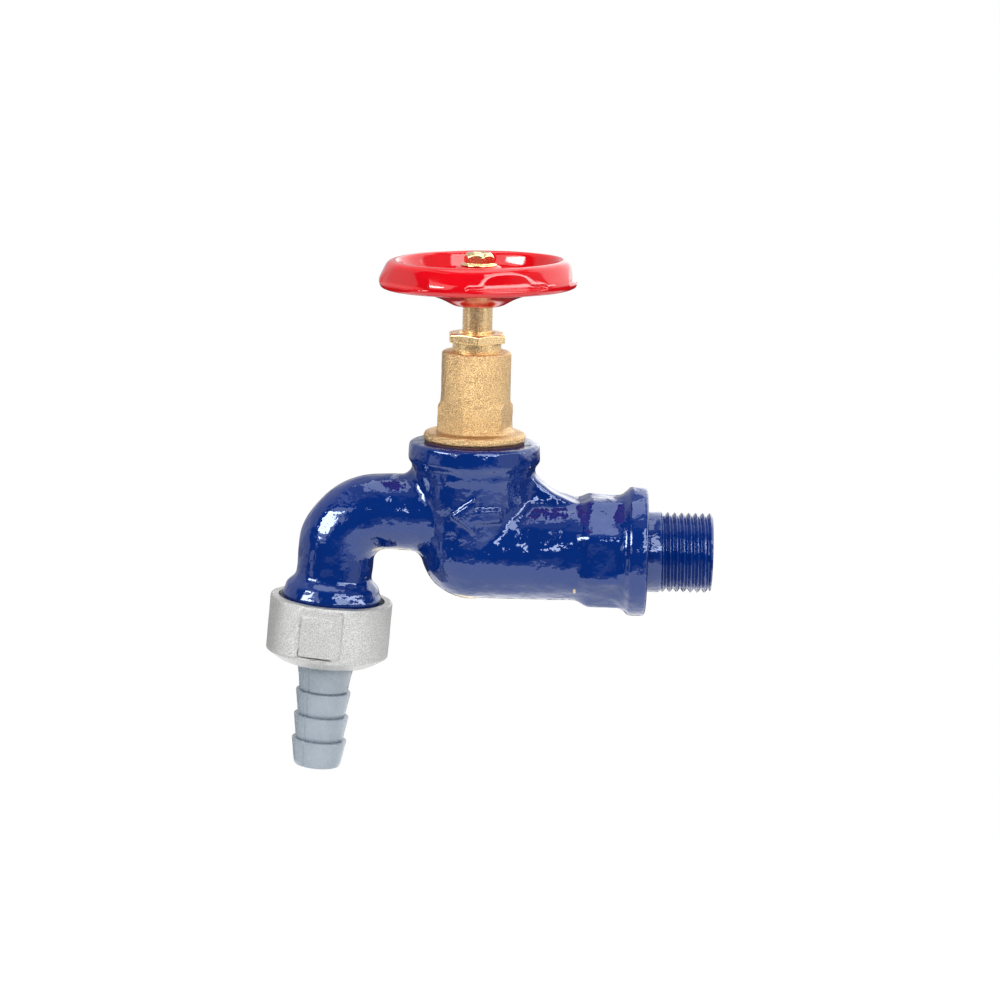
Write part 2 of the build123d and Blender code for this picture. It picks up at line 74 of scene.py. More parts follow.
# Mesh helpers, all in millimetres until finished()
def roundCorner(bm, vert, size, segments):
    bmesh.ops.bevel(bm, geom=[vert], offset=size, segments=segments, profile=0.5, affect="VERTICES",
                    material=-1)


def lathe(profile, steps=128, closed=False):
    # profile: (radius, height) or (radius, height, round), swept about Z
    bm = bmesh.new()
    corners = [(bm.verts.new((p[0], 0, p[1])), p[2] if len(p) > 2 else 0) for p in profile]
    chain = [vert for vert, _ in corners]
    for pair in zip(chain, chain[1:] + chain[:1] if closed else chain[1:]):
        bm.edges.new(pair)
    for vert, size in corners:
        if size > 0:
            roundCorner(bm, vert, size, 5)
    bmesh.ops.spin(bm, geom=bm.verts[:] + bm.edges[:], cent=(0, 0, 0), axis=(0, 0, 1), angle=2 * pi,
                   steps=steps, use_merge=True)
    bmesh.ops.remove_doubles(bm, verts=bm.verts[:], dist=1e-4)
    bmesh.ops.recalc_face_normals(bm, faces=bm.faces[:])
    return bm


def piece(name, *shapes):
    # one object from bmeshes, each with the matrix that places it
    whole = bmesh.new()
    for bm, place in shapes:
        bm.transform(place)
        part = bpy.data.meshes.new("part")
        bm.to_mesh(part)
        bm.free()
        whole.from_mesh(part)
        bpy.data.meshes.remove(part)
    mesh = bpy.data.meshes.new(name)
    whole.to_mesh(mesh)
    whole.free()
    obj = bpy.data.objects.new(name, mesh)
    bpy.context.scene.collection.objects.link(obj)
    return obj


def merged(obj, other):
    # the other object's mesh joins this one's
    bm = bmesh.new()
    bm.from_mesh(obj.data)
    bm.from_mesh(other.data)
    bm.to_mesh(obj.data)
    bm.free()
    bpy.data.objects.remove(other)


def applied(obj):
    depsgraph = bpy.context.evaluated_depsgraph_get()
    mesh = bpy.data.meshes.new_from_object(obj.evaluated_get(depsgraph))
    obj.modifiers.clear()
    old = obj.data
    obj.data = mesh
    bpy.data.meshes.remove(old)
    return obj


def remesh(obj, voxel):
    mod = obj.modifiers.new("voxels", "REMESH")
    mod.mode = "VOXEL"
    mod.voxel_size = voxel
    return applied(obj)


def swell(obj, distance):
    mod = obj.modifiers.new("swell", "DISPLACE")
    mod.mid_level = 0
    mod.strength = distance
    return applied(obj)


def smooth(obj, factor, rounds):
    mod = obj.modifiers.new("smooth", "SMOOTH")
    mod.factor = factor
    mod.iterations = rounds
    return applied(obj)


def blendInside(obj, radius, voxel):
    # rounds every inner corner to about this radius, and leaves the outer ones
    swell(obj, radius)
    remesh(obj, voxel)
    swell(obj, -radius)
    return remesh(obj, voxel)


def cut(obj, tool, operation="DIFFERENCE"):
    mod = obj.modifiers.new("cut", "BOOLEAN")
    mod.operation = operation
    mod.object = tool
    mod.solver = "MANIFOLD"
    applied(obj)
    bpy.data.objects.remove(tool)
    return obj


def ripple(obj, waves, keep=None):
    # moves each point along its normal by sums of noise; waves: (wavelength, height)
    bm = bmesh.new()
    bm.from_mesh(obj.data)
    bm.normal_update()
    moves = []
    for vert in bm.verts:
        share = keep(vert.co) if keep else 1
        height = sum(size * noise.noise(vert.co / length) for length, size in waves) if share else 0
        moves.append(vert.normal * height * share)
    for vert, move in zip(bm.verts, moves):
        vert.co += move
    bm.to_mesh(obj.data)
    bm.free()


def finished(obj, body, material, replaced=(), sharp=None):
    obj.data.transform(Matrix.Scale(mm, 4))
    obj.data.materials.clear()
    obj.data.materials.append(material)
    obj.data.shade_smooth()
    if sharp:
        obj.data.set_sharp_from_angle(angle=radians(sharp))
    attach(obj, body)
    if replaced:
        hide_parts(*replaced)
    return obj


# Node helpers
def addNode(tree, kind, **settings):
    node = tree.nodes.new(kind)
    for key, value in settings.items():
        if key in node.inputs:
            node.inputs[key].default_value = value
        else:
            setattr(node, key, value)
    return node


def wire(tree, source, target):
    tree.links.new(source, target)


def mathNode(tree, operation, first, second=None, third=None, clamp=False):
    node = addNode(tree, "ShaderNodeMath", operation=operation, use_clamp=clamp)
    for index, value in enumerate((first, second, third)):
        if value is None:
            continue
        if isinstance(value, (int, float)):
            node.inputs[index].default_value = value
        else:
            wire(tree, value, node.inputs[index])
    return node.outputs[0]


def mapped(tree, value, low, high, toLow=0.0, toHigh=1.0):
    node = addNode(tree, "ShaderNodeMapRange", interpolation_type="SMOOTHSTEP")
    wire(tree, value, node.inputs["Value"])
    for key, number in (("From Min", low), ("From Max", high), ("To Min", toLow), ("To Max", toHigh)):
        node.inputs[key].default_value = number
    return node.outputs["Result"]


def noiseAt(tree, vector, size, detail=2.0):
    # size is the width of one patch of the pattern, in millimetres
    node = addNode(tree, "ShaderNodeTexNoise", Scale=1 / (size * mm), Detail=detail)
    wire(tree, vector, node.inputs["Vector"])
    return node.outputs["Fac"]


def mixColour(tree, factor, first, second):
    node = addNode(tree, "ShaderNodeMix", data_type="RGBA")
    for index, value in ((0, factor), (6, first), (7, second)):
        if isinstance(value, (int, float)):
            node.inputs[index].default_value = value
        elif isinstance(value, tuple):
            node.inputs[index].default_value = (*value, 1)
        else:
            wire(tree, value, node.inputs[index])
    return node.outputs[2]


def newGroup(name, inputs, outputs):
    tree = bpy.data.node_groups.new(name, "ShaderNodeTree")
    for socketName, value in inputs.items():
        socket = tree.interface.new_socket(socketName, in_out="INPUT", socket_type="NodeSocketFloat")
        socket.default_value = value
    for socketName in outputs:
        tree.interface.new_socket(socketName, in_out="OUTPUT", socket_type="NodeSocketFloat")
    return tree, tree.nodes.new("NodeGroupInput").outputs, tree.nodes.new("NodeGroupOutput").inputs


def scaledNoise(tree, vector, size, detail, roughness=0.5):
    # noise whose patch size in millimetres comes from a socket
    node = addNode(tree, "ShaderNodeTexNoise", Detail=detail, Roughness=roughness)
    wire(tree, vector, node.inputs["Vector"])
    wire(tree, mathNode(tree, "DIVIDE", 1 / mm, size), node.inputs["Scale"])
    return node.outputs["Fac"]


def orangePeelGroup():
    # low waves and fine dimples of thick wet enamel
    tree, given, out = newGroup("orangePeel", {"waveSize": 6.0, "dimpleSize": 1.2, "dimpleShare": 0.2},
                                ["Height"])
    place = addNode(tree, "ShaderNodeTexCoord").outputs["Object"]
    waves = scaledNoise(tree, place, given["waveSize"], 1.0)
    dimples = scaledNoise(tree, place, given["dimpleSize"], 1.0)
    wire(tree, mathNode(tree, "MULTIPLY_ADD", dimples, given["dimpleShare"], waves), out["Height"])
    return tree


def grainGroup():
    # pitted grains of a sand-cast or blasted surface
    tree, given, out = newGroup("castGrain", {"grainSize": 0.35, "patchSize": 3.0},
                                ["Height", "Speckle", "Patches"])
    place = addNode(tree, "ShaderNodeTexCoord").outputs["Object"]
    fine = scaledNoise(tree, place, given["grainSize"], 3.0, 0.65)
    cells = addNode(tree, "ShaderNodeTexVoronoi", feature="SMOOTH_F1", Smoothness=0.4)
    wire(tree, place, cells.inputs["Vector"])
    wire(tree, mathNode(tree, "DIVIDE", 1 / mm, given["grainSize"]), cells.inputs["Scale"])
    wire(tree, mathNode(tree, "ADD", fine, cells.outputs["Distance"]), out["Height"])
    wire(tree, mapped(tree, fine, 0.35, 0.65), out["Speckle"])
    wire(tree, scaledNoise(tree, place, given["patchSize"], 2.0), out["Patches"])
    return tree


def turningGroup():
    # fine rings left by the lathe, round the piece's own Z
    tree, given, out = newGroup("turningMarks", {"spacing": 0.25}, ["Height", "Streaks"])
    place = addNode(tree, "ShaderNodeTexCoord").outputs["Object"]
    parts = addNode(tree, "ShaderNodeSeparateXYZ")
    wire(tree, place, parts.inputs[0])
    stretched = addNode(tree, "ShaderNodeCombineXYZ")
    alongRing = 60    # cycles to a metre, where the rings themselves are far closer
    perRing = mathNode(tree, "DIVIDE", 1 / mm, given["spacing"])
    for axis, scale in (("X", alongRing), ("Y", alongRing), ("Z", perRing)):
        wire(tree, mathNode(tree, "MULTIPLY", parts.outputs[axis], scale), stretched.inputs[axis])
    rings = addNode(tree, "ShaderNodeTexNoise", Scale=1.0, Detail=2.0)
    wire(tree, stretched.outputs[0], rings.inputs["Vector"])
    wire(tree, rings.outputs["Fac"], out["Height"])
    wire(tree, mapped(tree, rings.outputs["Fac"], 0.3, 0.7), out["Streaks"])
    return tree


def placed(tree, group, **values):
    node = addNode(tree, "ShaderNodeGroup", node_tree=group)
    for key, value in values.items():
        node.inputs[key].default_value = value
    return node.outputs


def newMaterial(name, **sockets):
    material = bpy.data.materials.new(name)
    material.use_nodes = True
    tree = material.node_tree
    shader = tree.nodes["Principled BSDF"]
    for key, value in sockets.items():
        shader.inputs[key].default_value = value
    return material, tree, shader


def bumped(tree, shader, height, distance):
    node = addNode(tree, "ShaderNodeBump", Strength=1.0, Distance=distance * mm)
    wire(tree, height, node.inputs["Height"])
    wire(tree, node.outputs["Normal"], shader.inputs["Normal"])


def objectPlace(tree):
    return addNode(tree, "ShaderNodeTexCoord").outputs["Object"]


orangePeel = orangePeelGroup()
castGrain = grainGroup()
turningMarks = turningGroup()

blueLook = dict(
    colour=(0.0006, 0.022, 0.170), deep=(0.0004, 0.016, 0.132), patchSize=9, ior=1.7, shine=(0.62, 0.74, 1.0),
    roughness=(0.05, 0.10), waveHeight=0.42, peel=dict(waveSize=4.5, dimpleSize=1.2, dimpleShare=0.22),
    metal=(0.62, 0.47, 0.20),
)
redLook = dict(
    colour=(0.70, 0.002, 0.009), deep=(0.54, 0.001, 0.006), patchSize=7, ior=1.55, shine=(1.0, 1.0, 1.0),
    roughness=(0.05, 0.09), waveHeight=0.10, peel=dict(waveSize=6.0, dimpleSize=1.0, dimpleShare=0.05),
)
worn = dict(
    grain=0.8, ragged=0.9, start=0.67, full=0.79,
    spots=[    # where the enamel is worn down to brass: centre and reach in millimetres
        ((-48.0, -4.5, -12.6), (6.5, 5.0, 1.6)),
        ((-66.0, -3.0, -0.7), (8.0, 4.0, 1.0)),
        ((14.5, 0.0, -10.4), (3.5, 8.0, 1.5)),
        ((-18.6, -9.6, -9.1), (0.5, 1.6, 1.3)),
    ],
)


def vectorNode(tree, operation, first, second=None):
    node = addNode(tree, "ShaderNodeVectorMath", operation=operation)
    wire(tree, first, node.inputs[0])
    if second is not None:
        node.inputs[1].default_value = second
    return node.outputs["Value" if operation == "LENGTH" else "Vector"]


def wornShare(tree, place):
    # 1 where brass shows, with a ragged edge inside each spot's reach
    share = 0.0
    for centre, reach in worn["spots"]:
        away = vectorNode(tree, "SUBTRACT", place, Vector(centre) * mm)
        distance = vectorNode(tree, "LENGTH", vectorNode(tree, "DIVIDE", away, Vector(reach) * mm))
        share = mathNode(tree, "MAXIMUM", mathNode(tree, "SUBTRACT", 1.0, distance), share)
    ragged = mathNode(tree, "MULTIPLY_ADD", noiseAt(tree, place, worn["grain"], 3.0), worn["ragged"], share)
    within = mathNode(tree, "MULTIPLY", ragged, mathNode(tree, "GREATER_THAN", share, 0.0))
    return mapped(tree, within, worn["start"], worn["full"])


def enamel(name, look):
    material, tree, shader = newMaterial(name, IOR=look["ior"])
    shader.inputs["Specular Tint"].default_value = (*look["shine"], 1)
    place = objectPlace(tree)
    colour = mixColour(tree, noiseAt(tree, place, look["patchSize"]), look["deep"], look["colour"])
    if "metal" in look:
        colour = mixColour(tree, wornShare(tree, place), colour, look["metal"])
    wire(tree, colour, shader.inputs["Base Color"])
    roughness = mapped(tree, noiseAt(tree, place, 4), 0.3, 0.8, *look["roughness"])
    wire(tree, roughness, shader.inputs["Roughness"])
    bumped(tree, shader, placed(tree, orangePeel, **look["peel"])["Height"], look["waveHeight"])
    return material


castBrassLook = dict(
    light=(0.90, 0.62, 0.31), dark=(0.24, 0.145, 0.06), metallic=1.0,
    grain=dict(grainSize=0.25, patchSize=2.5),
    speckleShare=0.8, patchShare=0.3, grainDepth=0.16, roughness=(0.42, 0.28),
)
dieCastLook = dict(
    light=(0.60, 0.60, 0.59), dark=(0.34, 0.34, 0.335), metallic=0.85, grain=dict(grainSize=0.25),
    speckleShare=1.0, patchShare=0.0, grainDepth=0.09, roughness=(0.62, 0.38),
)


def grainyMetal(name, look):
    # cast metal, its pits darker and rougher than its grains
    material, tree, shader = newMaterial(name, Metallic=look["metallic"])
    grain = placed(tree, castGrain, **look["grain"])
    speckle = mathNode(tree, "MULTIPLY", grain["Speckle"], look["speckleShare"])
    tint = mathNode(tree, "MULTIPLY_ADD", grain["Patches"], look["patchShare"], speckle)
    wire(tree, mixColour(tree, tint, look["dark"], look["light"]), shader.inputs["Base Color"])
    wire(tree, mapped(tree, grain["Speckle"], 0, 1, *look["roughness"]), shader.inputs["Roughness"])
    bumped(tree, shader, grain["Height"], look["grainDepth"])
    return material


turnedBrassLook = dict(
    light=(1.0, 0.76, 0.42), dark=(0.72, 0.50, 0.23), metallic=0.7, spacing=0.2, depth=0.006, stainSize=0.4,
    streakShare=0.35, stainShare=0.8, roughness=(0.22, 0.32),
)


def turnedBrass(name, **changes):
    look = {**turnedBrassLook, **changes}
    material, tree, shader = newMaterial(name, Metallic=look["metallic"])
    marks = placed(tree, turningMarks, spacing=look["spacing"])
    stains = noiseAt(tree, objectPlace(tree), look["stainSize"])
    stain = mathNode(tree, "MULTIPLY", stains, look["stainShare"])
    tint = mathNode(tree, "MULTIPLY_ADD", marks["Streaks"], look["streakShare"], stain, clamp=True)
    wire(tree, mixColour(tree, tint, look["dark"], look["light"]), shader.inputs["Base Color"])
    wire(tree, mapped(tree, stains, 0.3, 0.7, *look["roughness"]), shader.inputs["Roughness"])
    bumped(tree, shader, marks["Height"], look["depth"])
    return material


plasticLook = dict(
    light=(0.31, 0.36, 0.41), dark=(0.27, 0.32, 0.37), ior=1.49, cloudSize=6.0, glossSize=1.5,
    roughness=(0.24, 0.30), waveSize=2.0, waveDepth=0.02,
)


def greyPlastic():
    look = plasticLook
    material, tree, shader = newMaterial("greyPlastic", IOR=look["ior"])
    place = objectPlace(tree)
    clouds = mapped(tree, noiseAt(tree, place, look["cloudSize"], 3.0), 0.3, 0.7)
    wire(tree, mixColour(tree, clouds, look["dark"], look["light"]), shader.inputs["Base Color"])
    gloss = mapped(tree, noiseAt(tree, place, look["glossSize"]), 0.3, 0.7, *look["roughness"])
    wire(tree, gloss, shader.inputs["Roughness"])
    bumped(tree, shader, noiseAt(tree, place, look["waveSize"]), look["waveDepth"])
    return material


plainLooks = dict(    # inner pieces: colour pair, patch size, roughness, bump depth
    blackRubber=((0.012, 0.012, 0.012), (0.035, 0.035, 0.035), 1.0, 0.65, 0.03),
    redFibre=((0.035, 0.012, 0.009), (0.09, 0.032, 0.02), 0.5, 0.8, 0.04),
    greyPacking=((0.05, 0.05, 0.055), (0.13, 0.13, 0.14), 0.4, 0.7, 0.08),
)


def plainMaterial(name):
    first, second, size, roughness, depth = plainLooks[name]
    material, tree, shader = newMaterial(name)
    place = objectPlace(tree)
    pattern = noiseAt(tree, place, size, 3.0)
    colour = mixColour(tree, mapped(tree, pattern, 0.35, 0.65), first, second)
    wire(tree, colour, shader.inputs["Base Color"])
    gloss = mapped(tree, pattern, 0.3, 0.7, roughness - 0.08, roughness + 0.08)
    wire(tree, gloss, shader.inputs["Roughness"])
    bumped(tree, shader, pattern, depth)
    return material


blue = enamel("blueEnamel", blueLook)
red = enamel("redEnamel", redLook)
brassCast = grainyMetal("castBrass", castBrassLook)
brassTurned = turnedBrass("turnedBrass")
brassBright = turnedBrass("brightBrass", metallic=1.0, roughness=(0.14, 0.22))
silver = grainyMetal("dieCast", dieCastLook)
plastic = greyPlastic()
rubber, fibre, packing = (plainMaterial(name) for name in plainLooks)
print("materials made")

# Cast body
cast = dict(
    voxel=0.45, fineVoxel=0.42, blend=2.2, fineBlend=0.9,
    barrelFootR=12.8, neckR=15.8, neckTop=22.2, collarR=17.0, collarRound=1.3,
    armR=13.25, armBall=13.45,
    spannerSides=8, spannerR=14.2, spannerStart=-18.0, spannerBevel=2.6, flareStart=-8.6, flareR=14.3,
    flangeR=16.8, flangeBack=-5.0, flangeRound=0.6,
    spoutR=9.9, spoutRise=8.85, bendR=11.7,
    webWidth=10.0, webFoot=28.4, webFootZ=12.7, webDip=(21.6, 15.0), webTopZ=19.4,
    lipShape=[    # outlet's lip and bead: radius, depth below the nut's upper rim
        (0, -5.8), (9.9, -5.8), (10.2, -5.0), (11.2, -4.3), (12.0, -3.5), (12.3, -2.8), (12.25, -2.2),
        (12.0, -1.9), (12.5, -1.6), (12.9, -1.0), (13.0, -0.3), (12.8, 0.4), (12.0, 1.2), (12.0, 4.0),
        (0, 4.0)],
    threadR=10.478, threadStart=3.2, threadRunout=5.2, outletThreadR=13.22, outletThread=(3.0, 9.0),
    threadChamfer=0.8, waves=[(9.0, 0.30), (4.0, 0.14)], waveEndX=-6.0, waveTop=0.8, waveFade=(3.0, 5.0),
)


def tube(radius, start, steps=72, bendSteps=28):
    # spout: along -X from `start` past the spindle axis, round the bend and down to the nut's rim
    turn = radians(90 - outlet["lean"])
    rise, bendR = cast["spoutRise"], cast["bendR"]
    straight = outlet["drop"] + rise - bendR * (1 - cos(turn))
    bendX = rim.x + straight * tan(lean) + bendR * sin(turn)
    bm = bmesh.new()
    first = Matrix.Translation((spindleX - start, 0, rise)) @ Matrix.Rotation(pi / 2, 4, "Y")
    bmesh.ops.create_circle(bm, cap_ends=True, segments=steps, radius=radius, matrix=first)
    loop = bm.edges[:]
    grown = bmesh.ops.extrude_edge_only(bm, edges=loop)["geom"]
    bmesh.ops.translate(bm, verts=[v for v in grown if isinstance(v, bmesh.types.BMVert)],
                        vec=(bendX - spindleX + start, 0, 0))
    loop = [e for e in grown if isinstance(e, bmesh.types.BMEdge)]
    last = bmesh.ops.spin(bm, geom=loop, cent=(bendX, 0, rise - bendR), axis=(0, -1, 0), angle=turn,
                          steps=bendSteps)["geom_last"]
    loop = [e for e in last if isinstance(e, bmesh.types.BMEdge)]
    grown = bmesh.ops.extrude_edge_only(bm, edges=loop)["geom"]
    bmesh.ops.translate(bm, verts=[v for v in grown if isinstance(v, bmesh.types.BMVert)],
                        vec=down * (straight / cos(lean)))
    bmesh.ops.edgeloop_fill(bm, edges=[e for e in grown if isinstance(e, bmesh.types.BMEdge)])
    bmesh.ops.remove_doubles(bm, verts=bm.verts[:], dist=1e-4)
    bmesh.ops.recalc_face_normals(bm, faces=bm.faces[:])
    return bm


def prism(points, width):
    # closed outline of (x, z) points, given a width in Y
    bm = bmesh.new()
    face = bm.faces.new([bm.verts.new((x, -width / 2, z)) for x, z in points])
    grown = bmesh.ops.extrude_face_region(bm, geom=[face])["geom"]
    bmesh.ops.translate(bm, verts=[v for v in grown if isinstance(v, bmesh.types.BMVert)], vec=(0, width, 0))
    bmesh.ops.recalc_face_normals(bm, faces=bm.faces[:])
    return bm


def castForms():
    c = cast
    barrel = lathe([(0, -2), (c["barrelFootR"], -2), (c["neckR"], c["neckTop"]), (0, c["neckTop"])], 96)
    armEnd = -spindleX + c["flangeBack"]
    arm = lathe([(0, 0), (c["armR"], 0), (c["armR"], armEnd), (0, armEnd)], 96)
    ball = bmesh.new()
    bmesh.ops.create_uvsphere(ball, u_segments=96, v_segments=64, radius=c["armBall"])
    halfSide = pi / c["spannerSides"]
    corner = 1 / cos(halfSide)
    spanner = lathe([(0, c["spannerStart"]), ((c["armR"] - 0.6) * corner, c["spannerStart"]),
                     (c["spannerR"] * corner, c["spannerStart"] + c["spannerBevel"]),
                     (c["spannerR"] * corner, c["flangeBack"]), (0, c["flangeBack"])], c["spannerSides"])
    bmesh.ops.rotate(spanner, verts=spanner.verts[:], cent=(0, 0, 0),
                     matrix=Matrix.Rotation(halfSide, 3, "Z"))
    web = prism([(0, 0), (c["webFoot"], 0), (c["webFoot"], c["webFootZ"]), c["webDip"],
                 (c["neckR"], c["webTopZ"]), (0, c["webTopZ"])], c["webWidth"])
    return [
        (barrel, onSpindle), (arm, onSpindle @ alongInlet), (ball, onSpindle), (spanner, alongInlet),
        (web, onSpindle), (tube(c["spoutR"], 0), Matrix.Identity(4)),
    ]


def makeCastBody():
    c = cast
    body = piece("castBody", *castForms())
    remesh(body, c["voxel"])
    blendInside(body, c["blend"], c["voxel"])
    smooth(body, 0.5, 8)
    collar = lathe([
        (0, c["neckTop"] - 3), (c["neckR"], c["neckTop"] - 3), (c["neckR"], c["neckTop"]),
        (c["collarR"], c["neckTop"], c["collarRound"]), (c["collarR"], collarTop, c["collarRound"] * 0.7),
        (0, collarTop)])
    flange = lathe([
        (0, c["flareStart"]), (c["flareR"], c["flareStart"]), (c["flangeR"] - 1.1, c["flangeBack"]),
        (c["flangeR"], c["flangeBack"], c["flangeRound"]), (c["flangeR"], 0, c["flangeRound"]), (0, 0)])
    lip = lathe(c["lipShape"])
    merged(body, piece("extras", (collar, onSpindle), (flange, alongInlet), (lip, alongOutlet)))
    remesh(body, c["fineVoxel"])
    blendInside(body, c["fineBlend"], c["fineVoxel"])
    merged(body, makeArrow())
    remesh(body, c["fineVoxel"])
    smooth(body, 0.5, 3)
    ripple(body, c["waves"], waveShare)
    spigot = threadedRod(c["threadR"], c["threadStart"], threadEnd, c["threadRunout"], c["threadChamfer"])
    spigot.data.transform(alongInlet)
    cut(body, spigot, "UNION")
    outletThread = threadedRod(c["outletThreadR"], *c["outletThread"], 1.0, c["threadChamfer"])
    outletThread.data.transform(alongOutlet)
    cut(body, outletThread, "UNION")
    for tool in waterway():
        cut(body, tool)
    return finished(body, "tap_body", blue, ["body"], sharp=38)


def waveShare(co):
    # the casting is wavy, and its machined faces are true
    c = cast
    if co.x > c["waveEndX"] or co.z > collarTop - c["waveTop"]:
        return 0
    clear, fade = c["waveFade"]
    return min(max((-(co - rim).dot(down) - clear) / fade, 0), 1)


water = dict(
    chamberR=7.0, chamberFoot=-9.0, chamberRoof=0.5, seatR=6.6, seatTop=3.2, valveR=10.0, threadFoot=15.0,
    threadR=10.5, throatR=4.6, throatLift=0.1, throatFrom=-40.1, throatTo=-37.4, boreR=7.5, boreEnd=-24.0,
    bevel=0.8, spoutR=6.5, spoutStart=8.5, endR=9.0, endFrom=0.5, endTo=10.0,
)


def waterway():
    # tools for the bores: under the bonnet, from the inlet to the chamber, and along the spout
    w = water
    mouth = lathe([
        (0, w["chamberFoot"]), (w["chamberR"], w["chamberFoot"]), (w["chamberR"], w["chamberRoof"]),
        (w["seatR"], w["chamberRoof"]), (w["seatR"], w["seatTop"]), (w["valveR"], w["seatTop"]),
        (w["valveR"], w["threadFoot"]), (w["threadR"], w["threadFoot"]), (w["threadR"], collarTop + 1),
        (0, collarTop + 1)], 96)
    bore = lathe([
        (0, w["throatFrom"]), (w["throatR"], w["throatFrom"]), (w["throatR"], w["throatTo"]),
        (w["boreR"], w["boreEnd"]), (w["boreR"], threadEnd - 0.6), (w["boreR"] + w["bevel"], threadEnd + 0.2),
        (w["boreR"] + w["bevel"], threadEnd + 1), (0, threadEnd + 1)], 96)
    for vert in bore.verts:    # the throat runs lower than the inlet's axis
        if vert.co.z < w["boreEnd"] - 0.1:
            vert.co.x -= w["chamberFoot"] + w["throatLift"] + w["throatR"]
    end = lathe([(0, w["endFrom"]), (w["endR"], w["endFrom"]), (w["endR"], w["endTo"]), (0, w["endTo"])], 96)
    spout = tube(w["spoutR"], w["spoutStart"])
    return [piece("mouth", (mouth, onSpindle)), piece("bore", (bore, alongInlet)),
            piece("spoutBore", (spout, Matrix.Identity(4))), piece("end", (end, alongOutlet))]


pipeThread = dict(pitch=1.814, depth=1.16, crestRound=0.22, runout=1.9, steps=90)


def threadedRod(crestR, low, high, runout, chamfer):
    # rod about Z with a right-hand thread from `low` to `high`, its first turns filled by the runout cone
    t = pipeThread
    mid = crestR - t["depth"] / 2
    first = low - 1.5 * t["pitch"]
    turns = int((high - first) / t["pitch"]) + 2
    bm = bmesh.new()
    chain = [bm.verts.new((r, 0, first + share * t["pitch"])) for r, share in (
        (mid, 0), (crestR, 0.25), (mid, 0.5), (crestR - t["depth"], 0.75), (mid, 1))]
    for pair in zip(chain, chain[1:]):
        bm.edges.new(pair)
    for corner in (chain[1], chain[3]):
        roundCorner(bm, corner, t["crestRound"], 3)
    bmesh.ops.spin(bm, geom=bm.verts[:] + bm.edges[:], cent=(0, 0, 0), axis=(0, 0, 1),
                   dvec=(0, 0, t["pitch"] / t["steps"]), angle=2 * pi * turns, steps=t["steps"] * turns)
    bmesh.ops.remove_doubles(bm, verts=bm.verts[:], dist=1e-3)
    for height, side in ((low - 0.5, "clear_inner"), (high + 0.5, "clear_outer")):
        everything = bm.verts[:] + bm.edges[:] + bm.faces[:]
        made = bmesh.ops.bisect_plane(bm, geom=everything, plane_co=(0, 0, height), plane_no=(0, 0, 1),
                                      **{side: True})["geom_cut"]
        bmesh.ops.edgeloop_fill(bm, edges=[e for e in made if isinstance(e, bmesh.types.BMEdge)])
    bmesh.ops.recalc_face_normals(bm, faces=bm.faces[:])
    rod = piece("rod", (bm, Matrix.Identity(4)))
    ends = lathe([(0, low - 1), (crestR + 1, low - 1), (crestR + 1, high - chamfer - 1),
                  (crestR - chamfer, high), (0, high)])
    cut(rod, piece("ends", (ends, Matrix.Identity(4))), "INTERSECT")
    coneTop = low + t["runout"]
    plain = lathe([(0, low - runout), (crestR, low - runout), (crestR, low),
                   (crestR - t["depth"] - 0.1, coneTop), (0, coneTop)])
    return cut(rod, piece("plain", (plain, Matrix.Identity(4))), "UNION")


flowArrow = dict(length=13.0, head=6.0, width=9.0, stem=3.4, rise=1.0, middle=(1.0, 10.6), depth=20.0)


def makeArrow():
    # raised on the front of the barrel, pointing to the outlet
    a = flowArrow
    x, z = a["middle"]
    tip, back, neck = x - a["length"] / 2, x + a["length"] / 2, x - a["length"] / 2 + a["head"]
    outline = [(tip, z), (neck, z - a["width"] / 2), (neck, z - a["stem"] / 2), (back, z - a["stem"] / 2),
               (back, z + a["stem"] / 2), (neck, z + a["stem"] / 2), (neck, z + a["width"] / 2)]
    sign = prism(outline, a["depth"])
    arrow = piece("arrow", (sign, onSpindle @ Matrix.Translation((0, -a["depth"] / 2, 0))))
    c = cast
    around = lathe([(0, 0), (c["barrelFootR"] + a["rise"], 0), (c["neckR"] + a["rise"], c["neckTop"]),
                    (0, c["neckTop"])], 96)    # the barrel's outside, as far out as the arrow rises
    return cut(arrow, piece("around", (around, onSpindle)), "INTERSECT")


castBody = makeCastBody()
print("cast body", len(castBody.data.polygons))


def hexagonForm(name, across, low, high, turn, crown, slope=1.0):
    # hexagon about the spindle's axis, its corners turned off at the top to a cone of this slope
    flat = across / 2
    beyond = flat / cos(pi / 6)
    sides = lathe([(0, low), (beyond, low), (beyond, high), (0, high)], 6)
    sides.transform(Matrix.Rotation(radians(turn), 4, "Z"))
    hexagon = piece(name, (sides, onSpindle))
    coneFoot = high - crown - (beyond + 1 - flat) * slope
    envelope = lathe([(0, low - 1), (beyond + 1, low - 1), (beyond + 1, coneFoot), (flat, high - crown),
                      (flat - crown, high), (0, high)])
    return cut(hexagon, piece("envelope", (envelope, onSpindle)), "INTERSECT")


# Bonnet
headwork = dict(
    voxel=0.25, blend=0.25, flangeR=13.25, flangeHeight=2.2, grooveR=9.6, grooveHeight=0.6,
    hexAcross=17.4, hexHeight=7.8, hexTurn=-107.3, hexCrown=0.1, topR=9.0, topRound=0.8,
    skirtR=10.45, threadBoreR=6.25, stemBoreR=3.9, chamberR=6.35, chamberDepth=13.6, floorThickness=6.0,
    bevel=0.8, waves=[(2.5, 0.10), (0.9, 0.05)],
)


